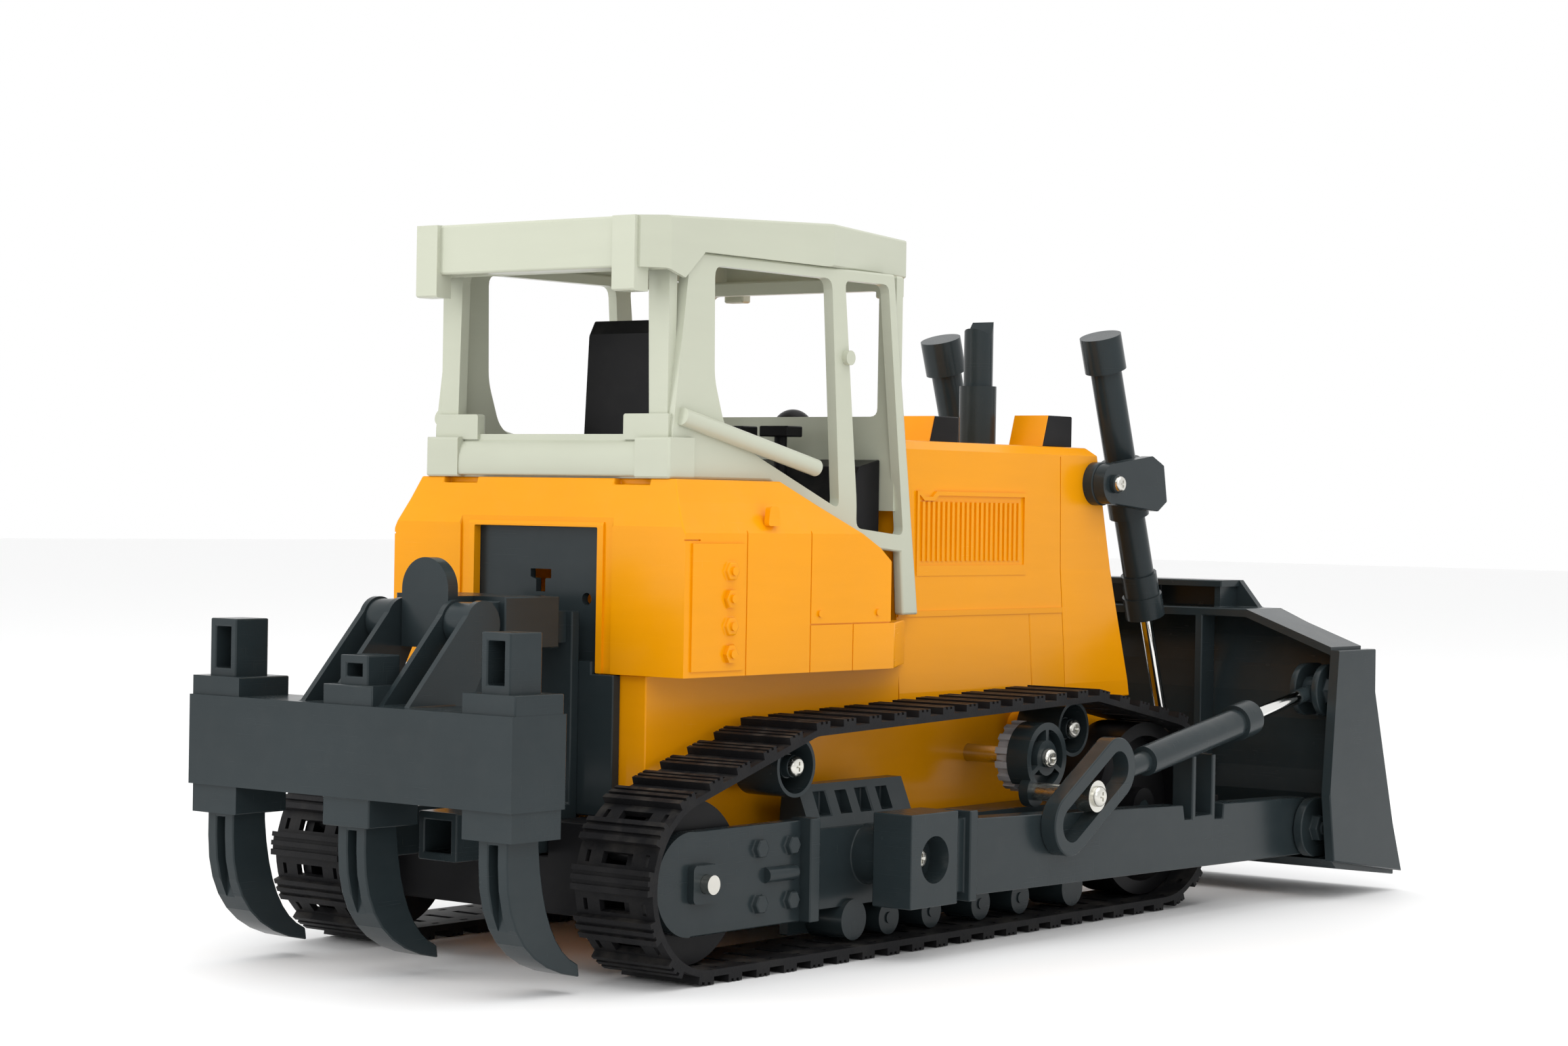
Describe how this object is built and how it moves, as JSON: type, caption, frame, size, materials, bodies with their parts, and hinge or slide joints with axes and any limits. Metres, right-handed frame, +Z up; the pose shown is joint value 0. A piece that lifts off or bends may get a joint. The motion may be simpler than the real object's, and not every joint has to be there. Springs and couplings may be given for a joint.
{
  "type": "toy bulldozer",
  "caption": "Toy crawler bulldozer with an open cab, rubber tracks, a push blade raised by cranks and followed by lift cylinders, and a swinging rear ripper",
  "frame": {"origin": "middle of the footprint, on the surface the tracks stand on", "axes": "X points forward to the blade, Y to the left side, Z up; the body is laid out about the plane Y = 0"},
  "size_m": [0.3744, 0.182, 0.1936],
  "materials": {
    "yellow_plastic": "glossy moulded plastic",
    "cream_plastic": "satin moulded plastic",
    "slate_plastic": "glossy moulded plastic",
    "black_plastic": "moulded plastic",
    "lamp_lens": "clear",
    "cell_wrap": "shrink film",
    "circuit_green": "solder mask",
    "motor_steel": "drawn steel can",
    "belt_rubber": "moulded rubber",
    "screw_steel": "zinc plated",
    "gear_grey": "acetal",
    "rod_chrome": "polished"
  },
  "bodies": {
    "chassis": {"lower_hull": "yellow_plastic", "belly_cover": "slate_plastic", "rear_housing": "yellow_plastic", "rear_panel": "slate_plastic", "hood": "yellow_plastic", "cab_frame": "cream_plastic", "cab_roof": "cream_plastic", "console": "black_plastic", "operator_seat": "black_plastic", "control_levers": "black_plastic", "exhaust_stack": "slate_plastic", "precleaner": "black_plastic", "headlight_frames": "black_plastic", "headlight_lenses": "lamp_lens", "battery_pack": "cell_wrap", "circuit_board": "circuit_green", "drive_motors": "motor_steel", "gearbox_cases": "black_plastic", "final_drive_case": "black_plastic", "track_frame_right": "slate_plastic", "track_frame_left": "slate_plastic", "side_cover_right": "slate_plastic", "side_cover_left": "slate_plastic", "track_belt_right": "belt_rubber", "track_belt_left": "belt_rubber", "trunnion_screws": "screw_steel", "ripper_bracket": "slate_plastic"},
    "drive_right": {"sprocket_right": "black_plastic", "drive_axle_right": "screw_steel"},
    "idler_right_wheel": {"idler_right": "black_plastic"},
    "rear_carrier_right_wheel": {"rear_carrier_right": "slate_plastic"},
    "front_carrier_right_wheel": {"front_carrier_right": "slate_plastic"},
    "roller_right_1_wheel": {"roller_right_1": "slate_plastic"},
    "roller_right_2_wheel": {"roller_right_2": "slate_plastic"},
    "roller_right_3_wheel": {"roller_right_3": "slate_plastic"},
    "roller_right_4_wheel": {"roller_right_4": "slate_plastic"},
    "drive_left": {"sprocket_left": "black_plastic", "drive_axle_left": "screw_steel"},
    "idler_left_wheel": {"idler_left": "black_plastic"},
    "rear_carrier_left_wheel": {"rear_carrier_left": "slate_plastic"},
    "front_carrier_left_wheel": {"front_carrier_left": "slate_plastic"},
    "roller_left_1_wheel": {"roller_left_1": "slate_plastic"},
    "roller_left_2_wheel": {"roller_left_2": "slate_plastic"},
    "roller_left_3_wheel": {"roller_left_3": "slate_plastic"},
    "roller_left_4_wheel": {"roller_left_4": "slate_plastic"},
    "blade_unit": {"blade": "slate_plastic", "push_arm_right": "slate_plastic", "push_arm_left": "slate_plastic", "tilt_strut_right": "slate_plastic", "tilt_strut_left": "slate_plastic", "strut_rods": "rod_chrome"},
    "lift_crank": {"crank_wheels": "slate_plastic", "crank_gears": "gear_grey", "crank_shaft": "screw_steel"},
    "lift_cylinder_right": {"lift_barrel_right": "slate_plastic"},
    "lift_piston_right": {"lift_rod_right": "rod_chrome"},
    "lift_cylinder_left": {"lift_barrel_left": "slate_plastic"},
    "lift_piston_left": {"lift_rod_left": "rod_chrome"},
    "ripper": {"ripper_beam": "slate_plastic", "ripper_shanks": "slate_plastic"}
  },
  "joints": [
    {"name": "drive_right", "type": "hinge", "parent": "chassis", "child": "drive_right", "pos_m": [-0.125, -0.05, 0.0245], "axis": [0, 1, 0], "continuous": true},
    {"name": "idler_right_turn", "type": "hinge", "parent": "chassis", "child": "idler_right_wheel", "pos_m": [0.087, -0.05, 0.0295], "axis": [0, 1, 0], "continuous": true},
    {"name": "rear_carrier_right_turn", "type": "hinge", "parent": "chassis", "child": "rear_carrier_right_wheel", "pos_m": [-0.082, -0.05, 0.0508], "axis": [0, 1, 0], "continuous": true},
    {"name": "front_carrier_right_turn", "type": "hinge", "parent": "chassis", "child": "front_carrier_right_wheel", "pos_m": [0.048, -0.05, 0.0548], "axis": [0, 1, 0], "continuous": true},
    {"name": "roller_right_1_turn", "type": "hinge", "parent": "chassis", "child": "roller_right_1_wheel", "pos_m": [-0.0415, -0.05, 0.0084], "axis": [0, 1, 0], "continuous": true},
    {"name": "roller_right_2_turn", "type": "hinge", "parent": "chassis", "child": "roller_right_2_wheel", "pos_m": [-0.022, -0.05, 0.0084], "axis": [0, 1, 0], "continuous": true},
    {"name": "roller_right_3_turn", "type": "hinge", "parent": "chassis", "child": "roller_right_3_wheel", "pos_m": [0.0015, -0.05, 0.0084], "axis": [0, 1, 0], "continuous": true},
    {"name": "roller_right_4_turn", "type": "hinge", "parent": "chassis", "child": "roller_right_4_wheel", "pos_m": [0.021, -0.05, 0.0084], "axis": [0, 1, 0], "continuous": true},
    {"name": "drive_left", "type": "hinge", "parent": "chassis", "child": "drive_left", "pos_m": [-0.125, 0.05, 0.0245], "axis": [0, 1, 0], "continuous": true},
    {"name": "idler_left_turn", "type": "hinge", "parent": "chassis", "child": "idler_left_wheel", "pos_m": [0.087, 0.05, 0.0295], "axis": [0, 1, 0], "continuous": true},
    {"name": "rear_carrier_left_turn", "type": "hinge", "parent": "chassis", "child": "rear_carrier_left_wheel", "pos_m": [-0.082, 0.05, 0.0508], "axis": [0, 1, 0], "continuous": true},
    {"name": "front_carrier_left_turn", "type": "hinge", "parent": "chassis", "child": "front_carrier_left_wheel", "pos_m": [0.048, 0.05, 0.0548], "axis": [0, 1, 0], "continuous": true},
    {"name": "roller_left_1_turn", "type": "hinge", "parent": "chassis", "child": "roller_left_1_wheel", "pos_m": [-0.0415, 0.05, 0.0084], "axis": [0, 1, 0], "continuous": true},
    {"name": "roller_left_2_turn", "type": "hinge", "parent": "chassis", "child": "roller_left_2_wheel", "pos_m": [-0.022, 0.05, 0.0084], "axis": [0, 1, 0], "continuous": true},
    {"name": "roller_left_3_turn", "type": "hinge", "parent": "chassis", "child": "roller_left_3_wheel", "pos_m": [0.0015, 0.05, 0.0084], "axis": [0, 1, 0], "continuous": true},
    {"name": "roller_left_4_turn", "type": "hinge", "parent": "chassis", "child": "roller_left_4_wheel", "pos_m": [0.021, 0.05, 0.0084], "axis": [0, 1, 0], "continuous": true},
    {"name": "blade_lift", "type": "hinge", "parent": "chassis", "child": "blade_unit", "pos_m": [-0.0515, 0, 0.0263], "axis": [0, -1, 0], "range_deg": [-1, 10]},
    {"name": "crank_turn", "type": "hinge", "parent": "chassis", "child": "lift_crank", "pos_m": [0.0245, 0, 0.048], "axis": [0, 1, 0], "range_deg": [-8, 66]},
    {"name": "cylinder_swing_right", "type": "hinge", "parent": "chassis", "child": "lift_cylinder_right", "pos_m": [0.093, -0.039, 0.126], "axis": [0, -1, 0], "range_deg": [-0.7, 6]},
    {"name": "rod_slide_right", "type": "slide", "parent": "lift_cylinder_right", "child": "lift_piston_right", "axis": [0.3173, 0, -0.9483], "range_m": [-0.033, 0.004]},
    {"name": "cylinder_swing_left", "type": "hinge", "parent": "chassis", "child": "lift_cylinder_left", "pos_m": [0.093, 0.039, 0.126], "axis": [0, -1, 0], "range_deg": [-0.7, 6]},
    {"name": "rod_slide_left", "type": "slide", "parent": "lift_cylinder_left", "child": "lift_piston_left", "axis": [0.3173, 0, -0.9483], "range_m": [-0.033, 0.004]},
    {"name": "ripper_raise", "type": "hinge", "parent": "chassis", "child": "ripper", "pos_m": [-0.1585, 0, 0.0872], "axis": [0, 1, 0], "range_deg": [0, 35]}
  ],
  "couplings": [
    {"joint": "idler_right_turn", "follows": "drive_right", "ratio": 0.8047},
    {"joint": "rear_carrier_right_turn", "follows": "drive_right", "ratio": 2.575},
    {"joint": "front_carrier_right_turn", "follows": "drive_right", "ratio": 2.575},
    {"joint": "roller_right_1_turn", "follows": "drive_right", "ratio": 4.5778},
    {"joint": "roller_right_2_turn", "follows": "drive_right", "ratio": 4.5778},
    {"joint": "roller_right_3_turn", "follows": "drive_right", "ratio": 4.5778},
    {"joint": "roller_right_4_turn", "follows": "drive_right", "ratio": 4.5778},
    {"joint": "idler_left_turn", "follows": "drive_left", "ratio": 0.8047},
    {"joint": "rear_carrier_left_turn", "follows": "drive_left", "ratio": 2.575},
    {"joint": "front_carrier_left_turn", "follows": "drive_left", "ratio": 2.575},
    {"joint": "roller_left_1_turn", "follows": "drive_left", "ratio": 4.5778},
    {"joint": "roller_left_2_turn", "follows": "drive_left", "ratio": 4.5778},
    {"joint": "roller_left_3_turn", "follows": "drive_left", "ratio": 4.5778},
    {"joint": "roller_left_4_turn", "follows": "drive_left", "ratio": 4.5778},
    {"joint": "crank_turn", "follows": "blade_lift", "ratio": 6.4383},
    {"joint": "cylinder_swing_right", "follows": "blade_lift", "ratio": 0.5508},
    {"joint": "rod_slide_right", "follows": "blade_lift", "m_per_rad": -0.18022},
    {"joint": "cylinder_swing_left", "follows": "blade_lift", "ratio": 0.5508},
    {"joint": "rod_slide_left", "follows": "blade_lift", "m_per_rad": -0.18022}
  ]
}
